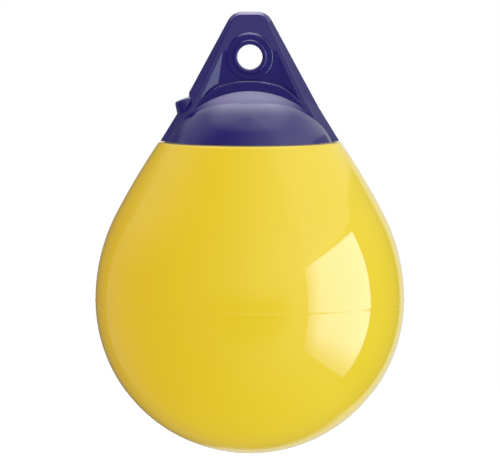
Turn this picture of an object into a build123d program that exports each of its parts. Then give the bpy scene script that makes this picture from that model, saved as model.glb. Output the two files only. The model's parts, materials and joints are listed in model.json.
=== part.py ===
from build123d import *
import os
from math import asin, cos, degrees, hypot, radians, sin, sqrt, tan

# Inflatable mooring buoy: a soft vinyl ball with a moulded rope head bonded into its neck.
# Sizes are in millimetres and angles in degrees. The origin is the centre of the rope eye.
# The plate of the head lies in the XZ plane, +Z is up and the inflation valve is on -X.

# Ball: three arcs tangent to each other, and a wall of even thickness
ball_radius = 102.0
shoulder_radius = 124.0
shoulder_angle = 27.6
neck_radius = 476.0
mouth_radius = 59.5
seam_z = -55.4
wall = 3.8
lip_round = 1.2
parting_width = 1.4
parting_height = 0.35

# Head: a hollow dome with a skirt that is bonded inside the neck of the ball
dome_rise = 34.4
dome_wall = 7.0
skirt_depth = 14.0
skirt_wall = 3.5
bond_gap = 0.1

# Outline of the plate that stands on the dome, and of the feet that flare out below its knees
head_top_z = 29.6
head_top_half = 11.3
head_top_round = 10.6
plate_side_angle = 28.4
knee_z = -33.5
foot_top_z = -15.0
foot_inset = 0.6
foot_overlap = 12.0

# Wedge shape of plate and feet: half of the thickness at the top, slope of the faces, and draft
# of the sides away from the middle plane
tip_half = 3.9
face_angle = 7.4
plate_draft = 25.0
foot_draft = 22.6
plate_edge_round = 1.2

# Pocket in each face of the plate: upright floor and sloped side walls
web_half = 7.2
pocket_top_half = 17.6
pocket_side_angle = 8.5
pocket_wall_angle = 68.0

# Saddle under the pockets: an upright ledge with a flat crown, rounded shoulders and sloped ends
saddle_half = 11.8
saddle_top_z = -15.7
saddle_foot_z = -33.0
crown_radius = 62.0
crown_angle = 17.8
saddle_end_radius = 24.0
saddle_end_angle = 45.0
saddle_edge_round = 0.8

# Rope eye with its stepped collar, each step as its radius and its height over the web
eye_radius = 8.25
eye_edge_round = 1.0
collar_steps = ((15.0, 0.8), (10.8, 2.0))
collar_draft = 25.0
collar_round = 0.7

# Valve boss, leaning outward from the edge of the plate
boss_radius = 6.9
boss_top_z = -27.5
boss_offset = 0.8
boss_lean = 19.0
boss_draft = 7.0
boss_depth = 24.0
boss_edge_round = 2.2

# Valve: a flanged bushing, a sealing washer and a slotted screw plug that turns out of them
bushing_flange_radius = 3.7
bushing_flange_height = 1.0
bushing_radius = 3.1
bushing_length = 8.0
washer_radius = 3.5
washer_thickness = 0.8
plug_head_radius = 3.4
plug_head_height = 1.8
plug_head_sink = 0.4
plug_shank_radius = 2.2
plug_shank_length = 7.0
plug_slot_width = 1.1
plug_slot_depth = 1.0
air_passage_radius = 1.6
recess_gap = 0.2
running_gap = 0.15
face_gap = 0.05

# Ends and centres of the ball's arcs above its equator, worked out so that they stay tangent
shoulder_centre_x = ball_radius - shoulder_radius
shoulder_end_x = shoulder_centre_x + shoulder_radius * cos(radians(shoulder_angle))
shoulder_rise = shoulder_radius * sin(radians(shoulder_angle))
neck_centre_x = shoulder_end_x - neck_radius * cos(radians(shoulder_angle))
neck_centre_rise = shoulder_rise - neck_radius * sin(radians(shoulder_angle))
mouth_rise = neck_centre_rise + sqrt(neck_radius**2 - (mouth_radius - neck_centre_x) ** 2)
equator_z = seam_z - mouth_rise
neck_centre_z = equator_z + neck_centre_rise


def neck_x(depth, z):
    """Distance from the axis to the neck's arc at this depth under the skin, at height z."""
    return neck_centre_x + sqrt((neck_radius - depth) ** 2 - (z - neck_centre_z) ** 2)


def ball_side(depth):
    """The ball's profile at this depth under its skin, from the lowest point up to the seam."""
    mouth_angle = degrees(asin((seam_z - neck_centre_z) / (neck_radius - depth)))
    CenterArc((0, equator_z), ball_radius - depth, -90, 90)
    CenterArc((shoulder_centre_x, equator_z), shoulder_radius - depth, 0, shoulder_angle)
    neck_centre = (neck_centre_x, neck_centre_z)
    CenterArc(neck_centre, neck_radius - depth, shoulder_angle, mouth_angle - shoulder_angle)


def symmetric(*right_half):
    """A closed outline from its right half, listed from one end to the other, and the mirror image."""
    left_half = [(-x, z) for x, z in reversed(right_half)]
    return Polyline(*right_half, *left_half, close=True)


# Ball: one revolved skin, with its mouth edge rounded and a fine parting ridge round its equator
with BuildPart() as body_shell:
    with BuildSketch(Plane.XZ) as ball_profile:
        with BuildLine():
            ball_side(0)
            ball_side(wall)
            Line((neck_x(wall, seam_z), seam_z), (mouth_radius, seam_z))
            Line((0, equator_z - ball_radius), (0, equator_z - ball_radius + wall))
        make_face()
        fillet(ball_profile.vertices().sort_by_distance((mouth_radius, seam_z))[0], radius=lip_round)
    revolve(axis=Axis.Z)
    with BuildSketch(Plane.XZ):
        with BuildLine():
            Polyline(
                (ball_radius - wall / 2, equator_z - parting_width / 2),
                (ball_radius - parting_height, equator_z - parting_width / 2),
                (ball_radius + parting_height, equator_z),
                (ball_radius - parting_height, equator_z + parting_width / 2),
                (ball_radius - wall / 2, equator_z + parting_width / 2),
                close=True,
            )
        make_face()
    revolve(axis=Axis.Z)
body_shell.part.label = "body_shell"

# Dome of the head: its foot fills the mouth of the ball and its skirt follows the neck inside
dome_foot_x = neck_x(wall + bond_gap, seam_z)
dome_radius = (dome_foot_x**2 + dome_rise**2) / (2 * dome_rise)
dome_centre_z = seam_z + dome_rise - dome_radius
skirt_end_z = seam_z - skirt_depth
skirt_end_x = neck_x(wall + bond_gap, skirt_end_z)
foot_angle = degrees(asin((seam_z - dome_centre_z) / dome_radius))
hollow_angle = degrees(asin((seam_z - dome_centre_z) / (dome_radius - dome_wall)))

with BuildPart() as dome:
    with BuildSketch(Plane.XZ):
        with BuildLine():
            skin = CenterArc((0, dome_centre_z), dome_radius, foot_angle, 90 - foot_angle)
            hollow = CenterArc((0, dome_centre_z), dome_radius - dome_wall, hollow_angle, 90 - hollow_angle)
            Polyline(
                skin @ 0,
                (skirt_end_x, skirt_end_z),
                (skirt_end_x - skirt_wall, skirt_end_z),
                hollow @ 0,
            )
            Line(hollow @ 1, skin @ 1)
        make_face()
    revolve(axis=Axis.Z)


# Half-widths at a height of the plate's outline, of the feet and of the pocket's floor, and half
# of the plate's thickness
def plate_half(z):
    return head_top_half + (head_top_z - z) * tan(radians(plate_side_angle))


def foot_half(z):
    flare = (mouth_radius - foot_inset - plate_half(knee_z)) / (knee_z - seam_z)
    return plate_half(knee_z) + (knee_z - z) * flare


def face_half(z):
    return tip_half + (head_top_z - z) * tan(radians(face_angle))


pocket_top_z = head_top_z - (web_half - tip_half) / tan(radians(face_angle))


def pocket_half(z):
    return pocket_top_half + (pocket_top_z - z) * tan(radians(pocket_side_angle))


plate_foot_z = seam_z - foot_overlap
plate_thickest = face_half(plate_foot_z)

# Cutter for the pocket in the front face, and its mirror image behind
pocket_depth = plate_thickest - web_half
pocket_spread = pocket_depth * tan(radians(pocket_wall_angle))

with BuildPart() as pocket:
    for depth, spread in ((0.0, 0.0), (pocket_depth, pocket_spread)):
        with BuildSketch(Plane.XZ.offset(web_half + depth)):
            with BuildLine():
                symmetric(
                    (pocket_half(head_top_z) + spread, head_top_z),
                    (pocket_half(plate_foot_z) + spread, plate_foot_z),
                )
            make_face()
    loft(ruled=True)
    mirror(about=Plane.XZ)

# Saddle: crown and end arcs are tangent, and the ends run out straight at their last slope
with BuildPart() as saddle:
    with BuildSketch(Plane.XZ):
        with BuildLine():
            crown_centre = Vector(0, saddle_top_z - crown_radius)
            CenterArc(crown_centre, crown_radius, 90 - crown_angle, crown_angle)
            crown_end = Vector(sin(radians(crown_angle)), cos(radians(crown_angle)))
            end_centre = crown_centre + crown_end * (crown_radius - saddle_end_radius)
            turn = saddle_end_angle - crown_angle
            end_arc = CenterArc(end_centre, saddle_end_radius, 90 - saddle_end_angle, turn)
            drop = (end_arc @ 0).Y - saddle_foot_z
            run_out = (end_arc @ 0).X + drop / tan(radians(saddle_end_angle))
            Polyline(end_arc @ 0, (run_out, saddle_foot_z), (0, saddle_foot_z))
            mirror(about=Plane.YZ)
        make_face()
    extrude(amount=saddle_half, both=True)
    ledge = saddle.edges().filter_by(
        lambda edge: abs(abs(edge.center().Y) - saddle_half) < 0.01
        and edge.center().Z > saddle_foot_z + 0.01
    )
    fillet(ledge, radius=saddle_edge_round)

# Plate and feet: each outline is drafted to both sides of the middle plane, and both are cut to
# the wedge. Where their sides cross, a crease runs up from the knee.
plate_outline = ((head_top_half, head_top_z), (plate_half(plate_foot_z), plate_foot_z))
foot_outline = ((foot_half(foot_top_z), foot_top_z), (foot_half(plate_foot_z), plate_foot_z))

with BuildPart() as plate:
    for half_outline, draft in ((plate_outline, plate_draft), (foot_outline, foot_draft)):
        with BuildSketch(Plane.XZ) as outline:
            with BuildLine():
                symmetric(*half_outline)
            make_face()
            fillet(outline.vertices().group_by(Axis.Y)[-1], radius=head_top_round)
        extrude(amount=plate_thickest, both=True, taper=draft)
    with BuildSketch(Plane.YZ):
        with BuildLine():
            symmetric((tip_half, head_top_z), (plate_thickest, plate_foot_z))
        make_face()
    extrude(amount=foot_half(plate_foot_z), both=True, mode=Mode.INTERSECT)
    rim = plate.edges().filter_by(
        lambda edge: abs(edge.center().Y) > tip_half - 0.1
        and abs((edge % 0.5).Y) < 0.5
        and edge.center().Z > seam_z
    )
    fillet(rim, radius=plate_edge_round)
    add(pocket.part, mode=Mode.SUBTRACT)
    add(saddle.part)

# Levels in the valve boss, measured down along its axis from its rim
boss_top_x = -plate_half(boss_top_z) - boss_offset
boss_lean_rad = radians(boss_lean)
boss_rim = Plane(
    origin=(boss_top_x, 0, boss_top_z),
    x_dir=(cos(boss_lean_rad), 0, sin(boss_lean_rad)),
    z_dir=(-sin(boss_lean_rad), 0, cos(boss_lean_rad)),
)
washer_level = plug_head_sink + plug_head_height + face_gap
bushing_level = washer_level + washer_thickness + face_gap
recess_level = bushing_level + bushing_flange_height
bushing_end_level = recess_level + bushing_length
recess_radius = bushing_flange_radius + recess_gap


def disc(radius, level, height, mode=Mode.ADD):
    """A cylinder on the boss's axis, from this level down by this height."""
    with Locations(boss_rim.offset(-level)):
        Cylinder(radius, height, align=(Align.CENTER, Align.CENTER, Align.MAX), mode=mode)


with BuildPart() as boss:
    with Locations(boss_rim):
        boss_foot_radius = boss_radius + boss_depth * tan(radians(boss_draft))
        Cone(
            boss_foot_radius,
            boss_radius,
            boss_depth,
            align=(Align.CENTER, Align.CENTER, Align.MAX),
        )
    boss_ends = boss.edges().filter_by(GeomType.CIRCLE)
    fillet(boss_ends.sort_by_distance(boss_rim.origin)[0], radius=boss_edge_round)

# Collar of the eye: one revolved disc for each step, with drafted sides and a rounded rim
with BuildPart() as collar:
    for rim_radius, height in collar_steps:
        collar_half = web_half + height
        foot_radius = rim_radius + collar_half * tan(radians(collar_draft))
        with BuildSketch() as collar_profile:
            with BuildLine():
                Polyline(
                    (0, collar_half),
                    (rim_radius, collar_half),
                    (foot_radius, 0),
                    (rim_radius, -collar_half),
                    (0, -collar_half),
                    close=True,
                )
            make_face()
            rims = collar_profile.vertices().filter_by(lambda corner: abs(corner.X - rim_radius) < 0.01)
            fillet(rims, radius=collar_round)
        revolve(axis=Axis.Y)

# Head: plate and boss are cut off inside the dome's wall and joined to it as one moulding. The
# recess for the valve is cut last, right up through the plate, so that the plug can leave.
with BuildPart() as rope_head:
    add(plate.part)
    add(boss.part)
    with Locations((0, 0, dome_centre_z)):
        Sphere(dome_radius - dome_wall / 2, mode=Mode.SUBTRACT)
    split(bisect_by=Plane.XY.offset(seam_z), keep=Keep.TOP)
    add(dome.part)
    add(collar.part)
    with BuildSketch(Plane.XZ):
        Circle(eye_radius)
    extrude(amount=plate_thickest, both=True, mode=Mode.SUBTRACT)
    mouths = rope_head.edges().filter_by(
        lambda edge: abs(hypot((edge @ 0).X, (edge @ 0).Z) - eye_radius) < 0.01
        and abs(abs((edge @ 0).Y) - collar_half) < 0.01
    )
    fillet(mouths, radius=eye_edge_round)
    disc(recess_radius, -boss_depth, boss_depth + recess_level, mode=Mode.SUBTRACT)
    disc(bushing_radius + bond_gap, recess_level, bushing_length + bond_gap, mode=Mode.SUBTRACT)
    disc(air_passage_radius, 0, boss_depth, mode=Mode.SUBTRACT)
rope_head.part.label = "rope_head"

with BuildPart() as valve_insert:
    disc(bushing_flange_radius, bushing_level, bushing_flange_height)
    disc(bushing_radius, recess_level, bushing_length)
    thread_radius = plug_shank_radius + running_gap
    disc(thread_radius, bushing_level, bushing_end_level - bushing_level, mode=Mode.SUBTRACT)
valve_insert.part.label = "valve_insert"

with BuildPart() as valve_washer:
    disc(washer_radius, washer_level, washer_thickness)
    disc(thread_radius, washer_level, washer_thickness, mode=Mode.SUBTRACT)
valve_washer.part.label = "valve_washer"

with BuildPart() as valve_plug:
    disc(plug_head_radius, plug_head_sink, plug_head_height)
    disc(plug_shank_radius, plug_head_sink + plug_head_height, plug_shank_length)
    with BuildSketch(boss_rim.offset(-plug_head_sink)):
        Rectangle(2 * plug_head_radius, plug_slot_width)
    extrude(amount=-plug_slot_depth, mode=Mode.SUBTRACT)
valve_plug.part.label = "valve_plug"

os.makedirs("parts", exist_ok=True)
for piece in (body_shell, rope_head, valve_insert, valve_washer, valve_plug):
    export_step(piece.part, f"parts/{piece.part.label}.step")
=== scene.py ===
import json
import math

import bpy
import numpy as np
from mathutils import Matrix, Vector

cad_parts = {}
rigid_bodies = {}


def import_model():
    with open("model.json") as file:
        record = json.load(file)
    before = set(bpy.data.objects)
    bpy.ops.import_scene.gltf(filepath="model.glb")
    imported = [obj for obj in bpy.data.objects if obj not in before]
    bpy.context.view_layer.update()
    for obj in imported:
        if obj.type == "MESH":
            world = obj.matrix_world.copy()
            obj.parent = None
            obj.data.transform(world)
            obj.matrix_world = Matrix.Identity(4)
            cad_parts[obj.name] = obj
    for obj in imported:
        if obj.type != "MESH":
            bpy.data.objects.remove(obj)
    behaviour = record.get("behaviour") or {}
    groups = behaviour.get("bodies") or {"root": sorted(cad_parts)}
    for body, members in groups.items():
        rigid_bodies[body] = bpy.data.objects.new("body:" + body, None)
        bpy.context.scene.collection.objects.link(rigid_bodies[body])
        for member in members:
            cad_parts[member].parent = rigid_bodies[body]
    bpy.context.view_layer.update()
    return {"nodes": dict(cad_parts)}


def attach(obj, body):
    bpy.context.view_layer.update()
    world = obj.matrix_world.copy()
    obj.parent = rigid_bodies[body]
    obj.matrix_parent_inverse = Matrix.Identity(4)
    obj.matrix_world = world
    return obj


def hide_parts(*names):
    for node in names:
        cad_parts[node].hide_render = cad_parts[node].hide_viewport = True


# Studio scene of the inflatable mooring buoy: yellow ball, blue-violet rope head, valve plug.
# The origin is the centre of the rope eye, +Z is up, the front is -Y and the valve is on -X.

for leftover in list(bpy.data.objects):
    bpy.data.objects.remove(leftover, do_unlink=True)

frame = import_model()
nodes = frame["nodes"]

MM = 0.001
WHITE = (1.0, 1.0, 1.0, 1.0)


def linear(hex_colour):
    """sRGB hex to a linear RGBA colour."""
    channels = [int(hex_colour[i : i + 2], 16) / 255 for i in (1, 3, 5)]
    return [c / 12.92 if c <= 0.04045 else ((c + 0.055) / 1.055) ** 2.4 for c in channels] + [1.0]


def add_node(tree, kind, inputs=None, **settings):
    """A new node with its settings, and each named input set to a value or linked to a socket."""
    new = tree.nodes.new(kind)
    for name, value in settings.items():
        setattr(new, name, value)
    for key, value in (inputs or {}).items():
        if isinstance(value, bpy.types.NodeSocket):
            tree.links.new(value, new.inputs[key])
        else:
            new.inputs[key].default_value = value
    return new


def new_material(name):
    """An empty node material with its Principled shader wired to the output."""
    material = bpy.data.materials.new(name)
    material.use_nodes = True
    tree = material.node_tree
    tree.nodes.clear()
    shader = add_node(tree, "ShaderNodeBsdfPrincipled")
    add_node(tree, "ShaderNodeOutputMaterial", {"Surface": shader.outputs["BSDF"]})
    return material, tree, shader


def noise(tree, place, size, detail, roughness):
    """Noise whose spots are about this size, in millimetres."""
    inputs = {"Vector": place, "Scale": 1 / (size * MM), "Detail": detail, "Roughness": roughness}
    return add_node(tree, "ShaderNodeTexNoise", inputs).outputs["Fac"]


def ramp(tree, value, low, high, bottom=0.0, top=1.0, kind="SMOOTHSTEP"):
    """Runs from bottom to top while the value runs from low to high, and is flat outside."""
    inputs = {"Value": value, "From Min": low, "From Max": high, "To Min": bottom, "To Max": top}
    return add_node(tree, "ShaderNodeMapRange", inputs, interpolation_type=kind).outputs["Result"]


def blend(tree, factor, first, second):
    """The first colour at factor 0 and the second at factor 1."""
    inputs = {"Factor": factor, "A": first, "B": second}
    mix = add_node(tree, "ShaderNodeMix", inputs, data_type="RGBA")
    return next(socket for socket in mix.outputs if socket.type == "RGBA")


def relief(tree, height, depth, strength, under=None):
    """The normal of a bumpy skin this many millimetres deep, laid over another one if there is one."""
    inputs = {"Height": height, "Distance": depth * MM, "Strength": strength}
    if under is not None:
        inputs["Normal"] = under
    return add_node(tree, "ShaderNodeBump", inputs).outputs["Normal"]


# Materials, with the sizes of their patterns in millimetres

PLASTIC_IOR = 1.53
STREAK_SIZE = 60.0
CLOUD_SIZE = 14.0
CLOUD_RANGE = (0.3, 0.7)
WAVE_SIZE = 22.0
WAVE_DEPTH = 0.12
PEEL_SIZE = 1.6
PEEL_DEPTH = 0.004
SKIN_STRENGTH = 0.5
# Painted highlight on what faces up: its pale colour, and the Z of the normal over which it comes in
TOP_HIGHLIGHT_HEX = "#B5B2D6"
TOP_HIGHLIGHT_RANGE = (0.72, 1.0)
GRAIN_SIZE = 0.35
GRAIN_DEPTH = 0.02
GRAIN_STRENGTH = 0.6
GRAIN_SPREAD = 0.08
BLOTCH_SIZE = 3.0
BLOTCH_LIFT = 1.35


def moulded_vinyl(name, body_hex, shade_hex, roughness_range, top_highlight):
    """Plasticised PVC moulded in a polished tool, so glossy and even in colour. Close up the gloss
    is a little cloudy from handling, the skin has slow waves where it shrank off the mould, and
    the pigment is slightly streaky. What faces up can be painted paler, toward a pale lilac, as a
    painted highlight that stands in for the light from above."""
    material, tree, shader = new_material(name)
    place = add_node(tree, "ShaderNodeTexCoord").outputs["Object"]
    streaks = noise(tree, place, STREAK_SIZE, detail=3.0, roughness=0.55)
    pigment = blend(tree, streaks, linear(body_hex), linear(shade_hex))
    facing = add_node(tree, "ShaderNodeNewGeometry").outputs["Normal"]
    upward = add_node(tree, "ShaderNodeSeparateXYZ", {0: facing}).outputs["Z"]
    # Painted highlight: the colour turns paler as the normal turns up, up to the given share
    painted_top_highlight = ramp(tree, upward, *TOP_HIGHLIGHT_RANGE, 0.0, top_highlight)
    skin_colour = blend(tree, painted_top_highlight, pigment, linear(TOP_HIGHLIGHT_HEX))
    tree.links.new(skin_colour, shader.inputs["Base Color"])
    clouds = noise(tree, place, CLOUD_SIZE, detail=5.0, roughness=0.6)
    cloudiness = ramp(tree, clouds, *CLOUD_RANGE, *roughness_range, kind="LINEAR")
    tree.links.new(cloudiness, shader.inputs["Roughness"])
    waves = noise(tree, place, WAVE_SIZE, detail=1.0, roughness=0.4)
    peel = noise(tree, place, PEEL_SIZE, detail=2.0, roughness=0.5)
    wavy = relief(tree, waves, WAVE_DEPTH, SKIN_STRENGTH)
    tree.links.new(relief(tree, peel, PEEL_DEPTH, SKIN_STRENGTH, wavy), shader.inputs["Normal"])
    shader.inputs["IOR"].default_value = PLASTIC_IOR
    return material


def spark_grained(name, body_hex, roughness):
    """Injection-moulded black plastic or rubber: dull, a little uneven, with the faint grain of a
    spark-eroded tool."""
    material, tree, shader = new_material(name)
    place = add_node(tree, "ShaderNodeTexCoord").outputs["Object"]
    grain = noise(tree, place, GRAIN_SIZE, detail=3.0, roughness=0.6)
    blotches = noise(tree, place, BLOTCH_SIZE, detail=2.0, roughness=0.5)
    base = linear(body_hex)
    paler = [channel * BLOTCH_LIFT for channel in base[:3]] + [1.0]
    tree.links.new(blend(tree, blotches, base, paler), shader.inputs["Base Color"])
    glossiest, dullest = roughness - GRAIN_SPREAD, roughness + GRAIN_SPREAD
    dullness = ramp(tree, grain, 0.0, 1.0, glossiest, dullest, kind="LINEAR")
    tree.links.new(dullness, shader.inputs["Roughness"])
    tree.links.new(relief(tree, grain, GRAIN_DEPTH, GRAIN_STRENGTH), shader.inputs["Normal"])
    shader.inputs["IOR"].default_value = PLASTIC_IOR
    return material


# The blue head gets a painted highlight on what faces up, and the yellow ball none
yellow_vinyl = moulded_vinyl("moulded_vinyl_yellow", "#E5C823", "#E3C51F", (0.03, 0.06), top_highlight=0.0)
blue_vinyl = moulded_vinyl("moulded_vinyl_blue_violet", "#190B68", "#150862", (0.10, 0.14), top_highlight=0.85)
black_nylon = spark_grained("moulded_nylon_black", "#1C1C1F", 0.45)
washer_rubber = spark_grained("moulded_rubber_black", "#0F0F10", 0.62)


# Ball: three arcs tangent to each other, the numbers of the moulding in millimetres

BALL_RADIUS = 102.0
SHOULDER_RADIUS = 124.0
SHOULDER_ANGLE = math.radians(27.6)
NECK_RADIUS = 476.0
MOUTH_RADIUS = 59.5
SEAM_Z = -55.4
WALL = 3.8
SEAM_GAP = 0.5
LIP_ROUND = 0.4
RIDGE_HALF_WIDTH = 0.75
RIDGE_HEIGHT = 0.2
RIDGE_CLEARANCE = 0.2
LIP_CLEARANCE = 0.3

# Steps of the ball's mesh: along its three arcs, over its small forms and round its axis

SKIN_STEPS = (110, 46, 46)
INSIDE_STEPS = (40, 14, 10)
RIDGE_STEPS = 15
LIP_STEPS = 9
STEPS_AROUND = 256


def arc(centre_x, centre_z, radius, start, end, count):
    """Points of a circular arc in the profile plane, from the start angle to the end angle."""
    angle = np.linspace(start, end, count)
    return np.stack([centre_x + radius * np.cos(angle), centre_z + radius * np.sin(angle)], axis=1)


def ball_skin(depth, steps):
    """Profile from the lowest point to the seam at this depth under the skin: the ball's, the
    shoulder's and the neck's arc, each tangent to the next."""
    shoulder_x = BALL_RADIUS - SHOULDER_RADIUS
    neck_x = shoulder_x + (SHOULDER_RADIUS - NECK_RADIUS) * math.cos(SHOULDER_ANGLE)
    neck_rise = (SHOULDER_RADIUS - NECK_RADIUS) * math.sin(SHOULDER_ANGLE)
    mouth_rise = neck_rise + math.sqrt(NECK_RADIUS**2 - (MOUTH_RADIUS - neck_x) ** 2)
    equator_z = SEAM_Z - mouth_rise
    mouth_angle = math.asin((SEAM_Z - equator_z - neck_rise) / (NECK_RADIUS - depth))
    lower = arc(0, equator_z, BALL_RADIUS - depth, -math.pi / 2, 0, steps[0])
    shoulder = arc(shoulder_x, equator_z, SHOULDER_RADIUS - depth, 0, SHOULDER_ANGLE, steps[1])
    neck = arc(neck_x, equator_z + neck_rise, NECK_RADIUS - depth, SHOULDER_ANGLE, mouth_angle, steps[2])
    return np.concatenate([lower, shoulder[1:], neck[1:]]), equator_z


def ball_profile():
    """The closed wall as one line: up the skin with the parting ridge, a raised cosine, round the
    mouth's outer edge, a thin gap below the seam, across the mouth and down the inside to the pole.
    The skin's own points keep clear of the ridge and of the mouth's edge."""
    skin, equator_z = ball_skin(0.0, SKIN_STEPS)
    ridge_z = equator_z + np.linspace(-RIDGE_HALF_WIDTH, RIDGE_HALF_WIDTH, RIDGE_STEPS)
    below = skin[skin[:, 1] < ridge_z[0] - RIDGE_CLEARANCE]
    above = skin[skin[:, 1] > ridge_z[-1] + RIDGE_CLEARANCE]
    rise = RIDGE_HEIGHT * 0.5 * (1 + np.cos(np.pi * (ridge_z - equator_z) / RIDGE_HALF_WIDTH))
    ridge = np.stack([BALL_RADIUS + rise, ridge_z], axis=1)
    slope = math.atan2(*(above[-1] - above[-2])[::-1])
    outward = slope - math.pi / 2
    lip_x = MOUTH_RADIUS - LIP_ROUND
    lip_z = SEAM_Z - SEAM_GAP - LIP_ROUND
    lip = arc(lip_x, lip_z, LIP_ROUND, outward, math.pi / 2, LIP_STEPS)
    above = above[above[:, 1] < lip[0, 1] - LIP_CLEARANCE]
    inside, _ = ball_skin(WALL, INSIDE_STEPS)
    return np.concatenate([below, ridge, above, lip, inside[::-1]])


def revolved(name, profile, around):
    """A profile (distance from the axis, height) carried round the Z axis in this many steps:
    x = r cos t, y = r sin t. Its first and last points lie on the axis and become poles."""
    turn = np.linspace(0, 2 * np.pi, around, endpoint=False)
    rings = profile[1:-1]
    x = rings[:, :1] * np.cos(turn)
    y = rings[:, :1] * np.sin(turn)
    z = np.repeat(rings[:, 1:], around, axis=1)
    poles = np.array([[0, 0, profile[0, 1]], [0, 0, profile[-1, 1]]])
    points = np.concatenate([np.stack([x, y, z], axis=2).reshape(-1, 3), poles])
    ring = np.arange(len(rings) - 1)[:, None] * around
    here = np.arange(around)[None, :]
    after = (here + 1) % around
    quads = np.stack([ring + here, ring + after, ring + around + after, ring + around + here], axis=2)
    first, last = len(points) - 2, len(points) - 1
    top = (len(rings) - 1) * around
    fans = [(first, int(b), int(a)) for a, b in zip(here[0], after[0])]
    fans += [(last, int(top + a), int(top + b)) for a, b in zip(here[0], after[0])]
    mesh = bpy.data.meshes.new(name)
    mesh.from_pydata((points * MM).tolist(), [], quads.reshape(-1, 4).tolist() + fans)
    mesh.polygons.foreach_set("use_smooth", np.ones(len(mesh.polygons), dtype=bool))
    piece = bpy.data.objects.new(name, mesh)
    bpy.context.scene.collection.objects.link(piece)
    return piece


ball = revolved("ball_skin", ball_profile(), STEPS_AROUND)
ball.data.materials.append(yellow_vinyl)
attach(ball, "buoy")
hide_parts("body_shell")

# The head and the valve's pieces are the solids themselves, with a material each
for node_name, material in (
    ("rope_head", blue_vinyl),
    ("valve_insert", black_nylon),
    ("valve_plug", black_nylon),
    ("valve_washer", washer_rubber),
):
    nodes[node_name].material_slots[0].material = material


# Studio, with places and sizes in metres

FLOOR_Z = -0.95
FLOOR_REACH = 6.0
PAPER_COLOUR = (0.9, 0.9, 0.9, 1.0)
PAPER_ROUGHNESS = 0.9
PAPER_GLOW = 0.6


def studio_paper():
    """Pale matt paper, which glows a little to the camera so that it reads as white."""
    material, tree, shader = new_material("studio_paper")
    shader.inputs["Base Color"].default_value = PAPER_COLOUR
    shader.inputs["Roughness"].default_value = PAPER_ROUGHNESS
    shader.inputs["Specular IOR Level"].default_value = 0.0
    shader.inputs["Emission Color"].default_value = WHITE
    to_camera = add_node(tree, "ShaderNodeLightPath").outputs["Is Camera Ray"]
    glow = add_node(tree, "ShaderNodeMath", {0: to_camera, 1: PAPER_GLOW}, operation="MULTIPLY")
    tree.links.new(glow.outputs["Value"], shader.inputs["Emission Strength"])
    return material


def studio_floor():
    """A level square of the paper, hidden from glossy and diffuse rays."""
    mesh = bpy.data.meshes.new("studio_floor")
    signs = ((-1, -1), (1, -1), (1, 1), (-1, 1))
    mesh.from_pydata([(x * FLOOR_REACH, y * FLOOR_REACH, FLOOR_Z) for x, y in signs], [], [(0, 1, 2, 3)])
    mesh.materials.append(studio_paper())
    sheet = bpy.data.objects.new("studio_floor", mesh)
    bpy.context.scene.collection.objects.link(sheet)
    sheet.visible_glossy = False
    sheet.visible_diffuse = False
    return sheet


floor = studio_floor()


# Softbox: each fade says the share of the size that it takes, and the light left at the edge

SOFTBOX_PLACE = (0.80, -0.41, -0.29)
SOFTBOX_FACING = (-1.0, 0.0, 0.0)
SOFTBOX_WIDTH = 0.97
SOFTBOX_HEIGHT = 1.10
SOFTBOX_RADIANCE = 5.8
SOFTBOX_COLOUR = (0.56, 0.74, 1.0)
LEFT_EDGE_FADE = (0.35, 0.35)
FOOT_FADE = (0.38, 0.25)


def right_softbox():
    """A cool upright softbox on the right that faces left, hidden from diffuse rays. It fades towards
    its left edge and its foot: across it the light's own coordinates run from 0 to 1. A lamp of
    radiance L and area A has the power pi * A * L."""
    light = bpy.data.lights.new("right_softbox", "AREA")
    light.shape = "RECTANGLE"
    light.size = SOFTBOX_WIDTH
    light.size_y = SOFTBOX_HEIGHT
    light.energy = math.pi * SOFTBOX_WIDTH * SOFTBOX_HEIGHT * SOFTBOX_RADIANCE
    light.color = SOFTBOX_COLOUR
    light.use_nodes = True
    tree = light.node_tree
    glow = next(node for node in tree.nodes if node.type == "EMISSION")
    across = add_node(tree, "ShaderNodeNewGeometry").outputs["Parametric"]
    place = add_node(tree, "ShaderNodeSeparateXYZ", {0: across}).outputs
    left_edge = ramp(tree, place["X"], 0.0, *LEFT_EDGE_FADE)
    foot = ramp(tree, place["Y"], 0.0, *FOOT_FADE)
    fade = add_node(tree, "ShaderNodeMath", {0: left_edge, 1: foot}, operation="MULTIPLY")
    tree.links.new(fade.outputs[0], glow.inputs["Strength"])
    lamp = bpy.data.objects.new("right_softbox", light)
    lamp.location = SOFTBOX_PLACE
    lamp.rotation_euler = Vector(SOFTBOX_FACING).to_track_quat("-Z", "Y").to_euler()
    lamp.visible_diffuse = False
    bpy.context.scene.collection.objects.link(lamp)


right_softbox()


# Surround: bearings in degrees, heights as a direction's Z, nearnesses as dot products, 1 as white

GLOW_BEARING = 50.0
GLOW_HEIGHT = 0.14
GLOW_POWER = 3.0
GLOW_RADIANCE = 1.19
GLOW_SHADE_LOSS = 0.45
SHADE_BEARINGS = (92.0, 98.0)
SHADE_HEIGHTS = (-0.8, -0.5)
WALL_RADIANCE = 0.2
WALL_SHADE_LOSS = 0.08
LEFT_WALL_BEARINGS = (-115.0, -70.0, 0.2, 0.0)
LEFT_WALL_HEIGHTS = (-0.8, -0.3)
LEFT_CEILING_BEARINGS = (-100.0, -50.0, 0.38, 0.0)
LEFT_CEILING_HEIGHTS = (0.1, 0.7)
RIGHT_CEILING_BEARINGS = (-20.0, 45.0, 0.0, 0.26)
RIGHT_CEILING_HEIGHTS = (0.0, 0.5)
PANEL_LOWER_EDGE = (-0.57, -0.106, 1.0)
PANEL_SIDE_EDGE = (-0.645, 0.084, 1.0)
PANEL_EDGE_BLUR = (-0.012, 0.012)
PANEL_BEARINGS = (34.0, 62.0, 0.0, 0.40)
FRONT_NEARNESS = (0.8, 0.97)
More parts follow.
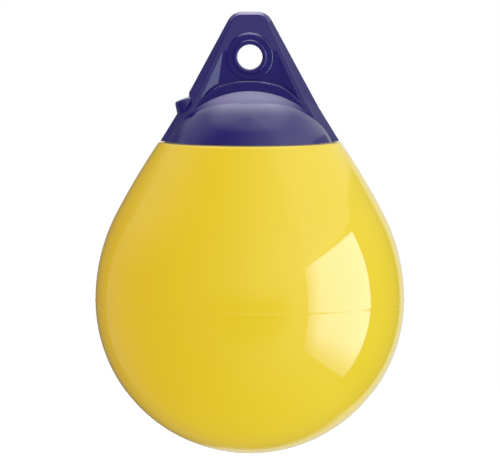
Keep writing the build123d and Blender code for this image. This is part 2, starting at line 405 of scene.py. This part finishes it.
FRONT_DARK_HEIGHTS = (-0.05, 0.2, 0.6, 0.0)
CORNER_LEAN = 13.0
CORNER_NEAR_BEARINGS = (-136.0, -131.5, 1.0, 0.0)
CORNER_FAR_BEARINGS = (166.0, 176.0)
CORNER_TOP_HEIGHTS = (0.3, 0.5, 1.0, 0.0)
CORNER_FOOT_HEIGHTS = (-0.75, -0.35)
CORNER_DARKNESS = 0.65
BACK_BEARING = 168.0
BACK_NEARNESS = (0.935, 0.965)
BACK_FOOT_HEIGHTS = (-0.66, -0.5)
BACK_TOP_HEIGHTS = (0.5, 0.8, 1.0, 0.0)
BACK_RADIANCE = 0.8
OVERHEAD_WAY = (0.0, 0.2, 1.0)
OVERHEAD_NEARNESS = (0.8, 0.95, 0.0, 0.9)
SHADING_SLANT = (0.165, 0.0, -0.075)
SHADING_HEIGHTS = (0.7, 0.95, 1.07, 1.45)
SHADING_RED = 1.0
SHADING_GREENS = (-0.9, 0.1, 0.80, 1.06)
SHADING_BLUE = 0.95


def level_way(bearing):
    """Level direction at a bearing in degrees: 0 towards the camera, positive to the right."""
    turn = math.radians(bearing)
    return Vector((math.sin(turn), -math.cos(turn), 0.0))


def studio_world():
    """White to the camera. To reflections a studio: a broad glow from the right of the camera, a
    pale panel above on the right, dull walls and ceilings, a darker zone round the camera and
    below it, a dark corner behind on the left, the white background behind and a light above. To
    shading it is one plain soft gradient, a little warmer from the left."""
    world = bpy.data.worlds.new("studio_world")
    bpy.context.scene.world = world
    world.use_nodes = True
    tree = world.node_tree
    tree.nodes.clear()
    rays = add_node(tree, "ShaderNodeLightPath").outputs
    way = add_node(tree, "ShaderNodeTexCoord").outputs["Generated"]
    x, y, z = add_node(tree, "ShaderNodeSeparateXYZ", {0: way}).outputs

    def calc(operation, first, second=0.0, third=0.0):
        inputs = {0: first, 1: second, 2: third}
        return add_node(tree, "ShaderNodeMath", inputs, operation=operation).outputs[0]

    def total(first, *others):
        for other in others:
            first = calc("ADD", first, other)
        return first

    def product(first, *others):
        for other in others:
            first = calc("MULTIPLY", first, other)
        return first

    def without(share):
        return calc("SUBTRACT", 1.0, share)

    def band(value, limits):
        """From 0 to 1 between two limits, or from the third number to the fourth if there are four."""
        return ramp(tree, value, *limits)

    def along(direction):
        """Dot product of the ray's direction with this one, so the larger, the nearer the two are."""
        inputs = {0: way, 1: direction}
        return add_node(tree, "ShaderNodeVectorMath", inputs, operation="DOT_PRODUCT").outputs["Value"]

    def mixed(factor, first, second):
        inputs = {"Factor": factor, "A": first, "B": second}
        return add_node(tree, "ShaderNodeMix", inputs, data_type="FLOAT").outputs[0]

    # Bearing in degrees round the object: 0 towards the camera, positive to the right
    bearing = product(calc("ARCTAN2", x, product(y, -1.0)), math.degrees(1.0))

    # Top right panel: above its lower edge, and behind the object above its side edge
    panel_edge = calc("MAXIMUM", along(PANEL_LOWER_EDGE), along(PANEL_SIDE_EDGE))
    on_panel = band(panel_edge, PANEL_EDGE_BLUR)

    # The broad glow, weaker in the shade behind the softbox and below the panel
    shade = product(band(bearing, SHADE_BEARINGS), without(on_panel), band(z, SHADE_HEIGHTS))
    glow_way = (level_way(GLOW_BEARING) + Vector((0.0, 0.0, GLOW_HEIGHT))).normalized()
    lobe = calc("POWER", calc("MULTIPLY_ADD", along(glow_way), 0.5, 0.5), GLOW_POWER)
    glow = product(lobe, calc("MULTIPLY_ADD", shade, -GLOW_SHADE_LOSS, GLOW_RADIANCE))

    # Walls and ceilings, each fading with the bearing and the height, and the panel
    left_wall = product(band(bearing, LEFT_WALL_BEARINGS), band(z, LEFT_WALL_HEIGHTS))
    shaded_wall = product(shade, -WALL_SHADE_LOSS)
    left_ceiling = product(band(bearing, LEFT_CEILING_BEARINGS), band(z, LEFT_CEILING_HEIGHTS))
    right_ceiling = product(band(bearing, RIGHT_CEILING_BEARINGS), band(z, RIGHT_CEILING_HEIGHTS))
    panel = product(band(bearing, PANEL_BEARINGS), on_panel)
    studio = total(left_wall, WALL_RADIANCE, shaded_wall, glow, left_ceiling, right_ceiling, panel)

    # Round the camera the studio is darker below its level
    in_front = band(along((0.0, -1.0, 0.0)), FRONT_NEARNESS)
    studio = product(studio, without(product(in_front, band(z, FRONT_DARK_HEIGHTS))))

    # Dark corner behind on the left, leaning with the height, which ends on the white background
    corner = calc("SUBTRACT", bearing, product(z, CORNER_LEAN))
    dark = calc("MAXIMUM", band(corner, CORNER_NEAR_BEARINGS), band(bearing, CORNER_FAR_BEARINGS))
    dark = product(dark, band(z, CORNER_TOP_HEIGHTS), band(z, CORNER_FOOT_HEIGHTS))
    studio = product(studio, calc("MULTIPLY_ADD", dark, -CORNER_DARKNESS, 1.0))

    # White background behind, and the light above
    level = calc("SQRT", calc("MULTIPLY_ADD", x, x, product(y, y)))
    toward_back = band(calc("DIVIDE", along(level_way(BACK_BEARING)), level), BACK_NEARNESS)
    back = product(toward_back, band(z, BACK_FOOT_HEIGHTS), band(z, BACK_TOP_HEIGHTS))
    studio = mixed(back, studio, BACK_RADIANCE)
    studio = total(studio, band(along(OVERHEAD_WAY), OVERHEAD_NEARNESS))

    # What each kind of ray sees
    shading = total(along(SHADING_SLANT), band(z, SHADING_HEIGHTS))
    warm_left = {0: SHADING_RED, 1: band(x, SHADING_GREENS), 2: SHADING_BLUE}
    shading_colour = add_node(tree, "ShaderNodeCombineColor", warm_left).outputs[0]
    glossy = calc("MAXIMUM", rays["Is Glossy Ray"], rays["Is Transmission Ray"])
    strength = mixed(rays["Is Camera Ray"], mixed(glossy, shading, studio), 1.0)
    plain = calc("MAXIMUM", rays["Is Camera Ray"], glossy)
    colour = blend(tree, plain, shading_colour, WHITE)
    background = add_node(tree, "ShaderNodeBackground", {"Color": colour, "Strength": strength})
    add_node(tree, "ShaderNodeOutputWorld", {"Surface": background.outputs[0]})


studio_world()


# Camera: a long lens in millimetres, places in metres

CAMERA_PLACE = Vector((0.0, -2.6, 0.093))
CAMERA_TARGET = Vector((0.0001, 0.0, -0.116))
LENS = 284.5
SENSOR_WIDTH = 36.0
CLIP_END = 50.0


def front_camera():
    """A long lens from in front and a little above, which looks at the middle of the buoy."""
    data = bpy.data.cameras.new("camera")
    data.lens = LENS
    data.sensor_width = SENSOR_WIDTH
    data.clip_end = CLIP_END
    camera = bpy.data.objects.new("camera", data)
    camera.location = CAMERA_PLACE
    camera.rotation_euler = (CAMERA_TARGET - CAMERA_PLACE).to_track_quat("-Z", "Y").to_euler()
    bpy.context.scene.collection.objects.link(camera)
    bpy.context.scene.camera = camera


front_camera()

bpy.context.scene.view_settings.view_transform = "Standard"

bpy.context.view_layer.update()
